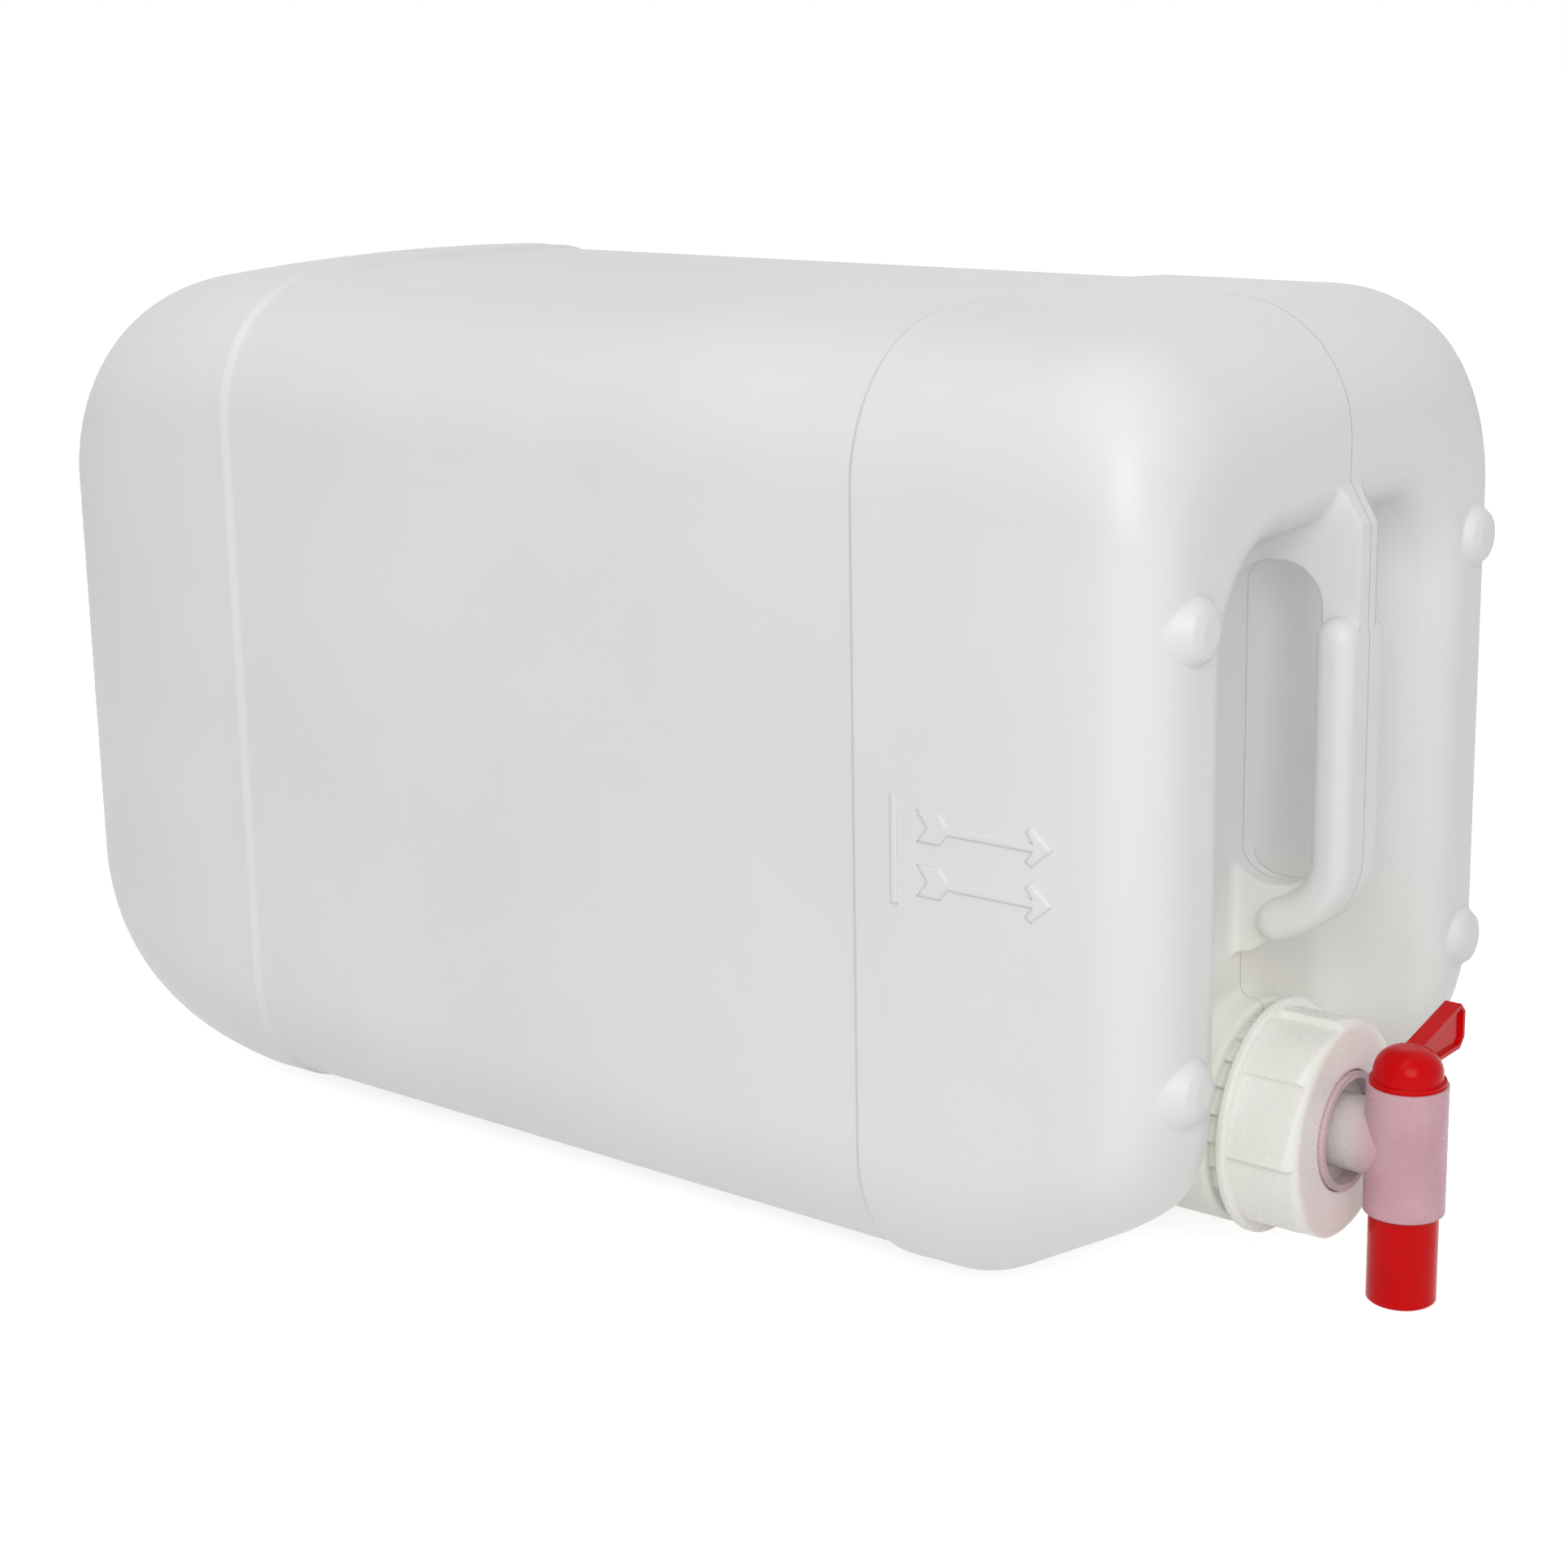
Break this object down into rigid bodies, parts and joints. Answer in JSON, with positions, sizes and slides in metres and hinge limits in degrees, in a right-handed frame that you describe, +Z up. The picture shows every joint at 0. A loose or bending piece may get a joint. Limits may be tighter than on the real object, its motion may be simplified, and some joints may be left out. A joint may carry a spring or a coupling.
{
  "type": "carboy with spigot",
  "caption": "Stackable blow-moulded plastic container lying on its narrow side, with a handle in the channel of its top and a screw-on drain tap at the low front corner.",
  "frame": {"origin": "under the middle of the overall length, on the middle plane, level with the spout's mouth", "axes": "+X from the base end to the tap, +Y to the side the lever points to at rest, +Z up as the container lies to pour"},
  "size_m": [0.5034, 0.2162, 0.3011],
  "materials": {
    "natural_plastic": "satin, slightly translucent",
    "nut_plastic": "milky",
    "gasket_rubber": "soft",
    "tap_plastic": "translucent",
    "plug_plastic": "glossy red"
  },
  "bodies": {
    "container_body": {"container": "natural_plastic"},
    "gasket_ring": {"tap_gasket": "gasket_rubber"},
    "nut": {"union_nut": "nut_plastic"},
    "tap": {"tap_body": "tap_plastic"},
    "plug": {"tap_plug": "plug_plastic"}
  },
  "joints": [
    {"name": "tap_travel", "type": "slide", "parent": "container_body", "child": "gasket_ring", "axis": [1, 0, 0], "range_m": [0, 0.0091]},
    {"name": "nut_turn", "type": "hinge", "parent": "gasket_ring", "child": "nut", "pos_m": [0.2, 0, 0.0495], "axis": [1, 0, 0], "range_deg": [0, 540]},
    {"name": "tap_swivel", "type": "hinge", "parent": "gasket_ring", "child": "tap", "pos_m": [0.215, 0, 0.0495], "axis": [1, 0, 0], "range_deg": [-180, 180]},
    {"name": "tap_turn", "type": "hinge", "parent": "tap", "child": "plug", "pos_m": [0.23935, 0, 0.0495], "axis": [0, 0, 1], "range_deg": [-180, 0]}
  ],
  "couplings": [
    {"joint": "tap_travel", "follows": "nut_turn", "m_per_rad": 0.00095493}
  ]
}
